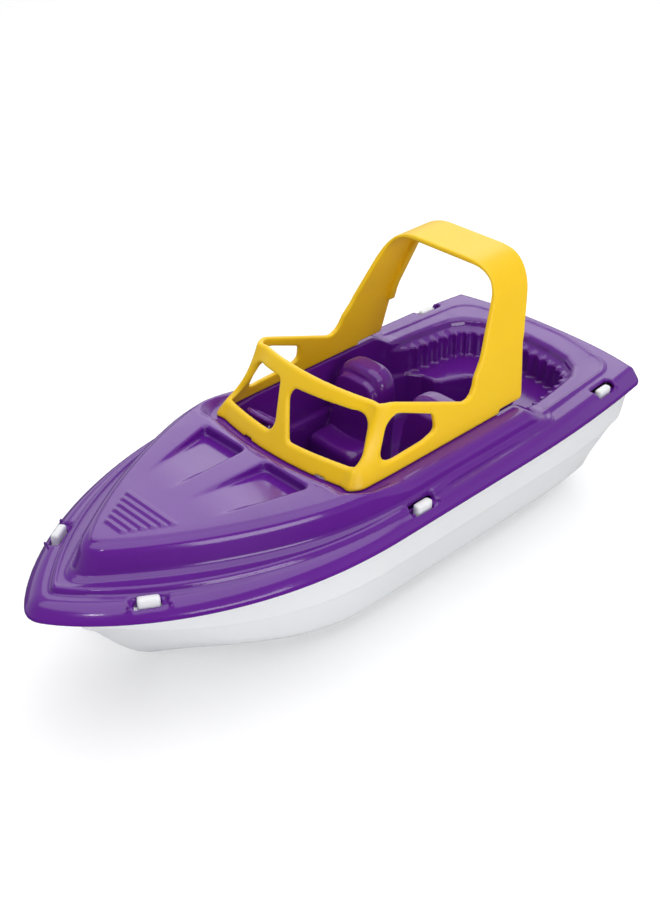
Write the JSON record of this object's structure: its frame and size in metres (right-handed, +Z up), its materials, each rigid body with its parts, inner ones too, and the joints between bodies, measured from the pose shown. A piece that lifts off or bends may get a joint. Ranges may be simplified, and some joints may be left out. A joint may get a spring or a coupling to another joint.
{
  "type": "toy boat",
  "caption": "Toy speedboat with a snapped-on deck and cockpit tub, and a lift-off windscreen with a roof arch.",
  "frame": {"origin": "centre of the footprint on the surface that the boat rests on", "axes": "-Y toward the bow, +X toward port, +Z up"},
  "size_m": [0.106, 0.2578, 0.1095],
  "materials": {
    "hull_plastic": "white moulded polypropylene, satin sheen",
    "deck_plastic": "deep purple moulded plastic, glossy",
    "canopy_plastic": "warm yellow moulded plastic, soft gloss"
  },
  "bodies": {
    "root": {"hull": "hull_plastic", "deck": "deck_plastic"},
    "canopy": {"canopy": "canopy_plastic"}
  },
  "joints": [
    {"name": "canopy_lift", "type": "slide", "parent": "root", "child": "canopy", "axis": [0, 0, 1], "range_m": [0, 0.06]}
  ]
}
